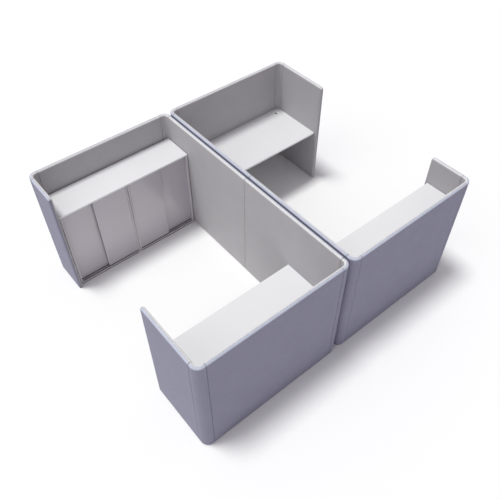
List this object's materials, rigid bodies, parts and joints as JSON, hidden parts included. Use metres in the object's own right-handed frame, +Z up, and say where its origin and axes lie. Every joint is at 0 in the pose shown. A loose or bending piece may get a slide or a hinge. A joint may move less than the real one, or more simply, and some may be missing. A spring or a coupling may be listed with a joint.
{
  "type": "study carrel",
  "caption": "Double study carrel: back-to-back C-shaped upholstered screens, each enclosing a desk and a run of low sliding-door cabinets.",
  "frame": {"origin": "on the floor under the centre of the pair of bays", "axes": "+X from the first bay's open side to the second bay's open side, +Y along the long walls towards the first bay's cabinets, +Z up"},
  "size_m": [3.422, 2.93, 1.405],
  "materials": {
    "outer_fabric": "lilac-grey woven upholstery, matt",
    "inner_fabric": "light warm grey melange upholstery, matt",
    "white_board": "white melamine, satin",
    "grey_board": "light grey melamine, satin",
    "grey_door": "light grey melamine, satin",
    "grey_steel": "grey powder coat",
    "white_plastic": "moulded, satin",
    "black_plastic": "moulded, matt",
    "screw_steel": "zinc plated"
  },
  "bodies": {
    "root": {"bay_a_desk_wing": "outer_fabric", "bay_a_corner_desk_wing": "outer_fabric", "bay_a_desk_wall": "outer_fabric", "bay_a_corner_desk_back": "outer_fabric", "bay_a_back_wall_desk": "outer_fabric", "bay_a_back_wall_cabinet": "outer_fabric", "bay_a_corner_cabinet_back": "outer_fabric", "bay_a_cabinet_wall": "outer_fabric", "bay_a_corner_cabinet_wing": "outer_fabric", "bay_a_cabinet_wing": "outer_fabric", "bay_a_cabinet_top": "white_board", "bay_a_cabinet_1_left_side": "grey_board", "bay_a_cabinet_1_right_side": "grey_board", "bay_a_cabinet_1_bottom": "grey_board", "bay_a_cabinet_1_back": "grey_board", "bay_a_cabinet_1_shelf": "grey_board", "bay_a_cabinet_2_left_side": "grey_board", "bay_a_cabinet_2_right_side": "grey_board", "bay_a_cabinet_2_bottom": "grey_board", "bay_a_cabinet_2_back": "grey_board", "bay_a_cabinet_2_shelf": "grey_board", "bay_a_desk_top": "white_board", "bay_a_desk_angle_wing": "grey_steel", "bay_a_desk_angle_back": "grey_steel", "bay_a_grommet_ring": "white_plastic", "bay_b_desk_wing": "outer_fabric", "bay_b_corner_desk_wing": "outer_fabric", "bay_b_desk_wall": "outer_fabric", "bay_b_corner_desk_back": "outer_fabric", "bay_b_back_wall_desk": "outer_fabric", "bay_b_back_wall_cabinet": "outer_fabric", "bay_b_corner_cabinet_back": "outer_fabric", "bay_b_cabinet_wall": "outer_fabric", "bay_b_corner_cabinet_wing": "outer_fabric", "bay_b_cabinet_wing": "outer_fabric", "bay_b_cabinet_top": "white_board", "bay_b_cabinet_1_left_side": "grey_board", "bay_b_cabinet_1_right_side": "grey_board", "bay_b_cabinet_1_bottom": "grey_board", "bay_b_cabinet_1_back": "grey_board", "bay_b_cabinet_1_shelf": "grey_board", "bay_b_cabinet_2_left_side": "grey_board", "bay_b_cabinet_2_right_side": "grey_board", "bay_b_cabinet_2_bottom": "grey_board", "bay_b_cabinet_2_back": "grey_board", "bay_b_cabinet_2_shelf": "grey_board", "bay_b_desk_top": "white_board", "bay_b_desk_angle_wing": "grey_steel", "bay_b_desk_angle_back": "grey_steel", "bay_b_grommet_ring": "white_plastic"},
    "bay_a_door_1": {"bay_a_door_1": "grey_door"},
    "bay_a_door_2": {"bay_a_door_2": "grey_door"},
    "bay_a_door_3": {"bay_a_door_3": "grey_door"},
    "bay_a_door_4": {"bay_a_door_4": "grey_door"},
    "bay_a_grommet_cap": {"bay_a_grommet_cap": "white_plastic"},
    "bay_b_door_1": {"bay_b_door_1": "grey_door"},
    "bay_b_door_2": {"bay_b_door_2": "grey_door"},
    "bay_b_door_3": {"bay_b_door_3": "grey_door"},
    "bay_b_door_4": {"bay_b_door_4": "grey_door"},
    "bay_b_grommet_cap": {"bay_b_grommet_cap": "white_plastic"}
  },
  "joints": [
    {"name": "bay_a_door_1_slide", "type": "slide", "parent": "root", "child": "bay_a_door_1", "axis": [-1, 0, 0], "range_m": [-0.355, 0]},
    {"name": "bay_a_door_2_slide", "type": "slide", "parent": "root", "child": "bay_a_door_2", "axis": [-1, 0, 0], "range_m": [0, 0.355]},
    {"name": "bay_a_door_3_slide", "type": "slide", "parent": "root", "child": "bay_a_door_3", "axis": [1, 0, 0], "range_m": [0, 0.355]},
    {"name": "bay_a_door_4_slide", "type": "slide", "parent": "root", "child": "bay_a_door_4", "axis": [1, 0, 0], "range_m": [-0.355, 0]},
    {"name": "bay_a_grommet_cap_turn", "type": "hinge", "parent": "root", "child": "bay_a_grommet_cap", "pos_m": [-1.571, -1.33, 0.7426], "axis": [0, 0, 1], "continuous": true},
    {"name": "bay_b_door_1_slide", "type": "slide", "parent": "root", "child": "bay_b_door_1", "axis": [1, 0, 0], "range_m": [-0.355, 0]},
    {"name": "bay_b_door_2_slide", "type": "slide", "parent": "root", "child": "bay_b_door_2", "axis": [1, 0, 0], "range_m": [0, 0.355]},
    {"name": "bay_b_door_3_slide", "type": "slide", "parent": "root", "child": "bay_b_door_3", "axis": [-1, 0, 0], "range_m": [0, 0.355]},
    {"name": "bay_b_door_4_slide", "type": "slide", "parent": "root", "child": "bay_b_door_4", "axis": [-1, 0, 0], "range_m": [-0.355, 0]},
    {"name": "bay_b_grommet_cap_turn", "type": "hinge", "parent": "root", "child": "bay_b_grommet_cap", "pos_m": [1.571, 1.33, 0.7426], "axis": [0, 0, 1], "continuous": true}
  ]
}
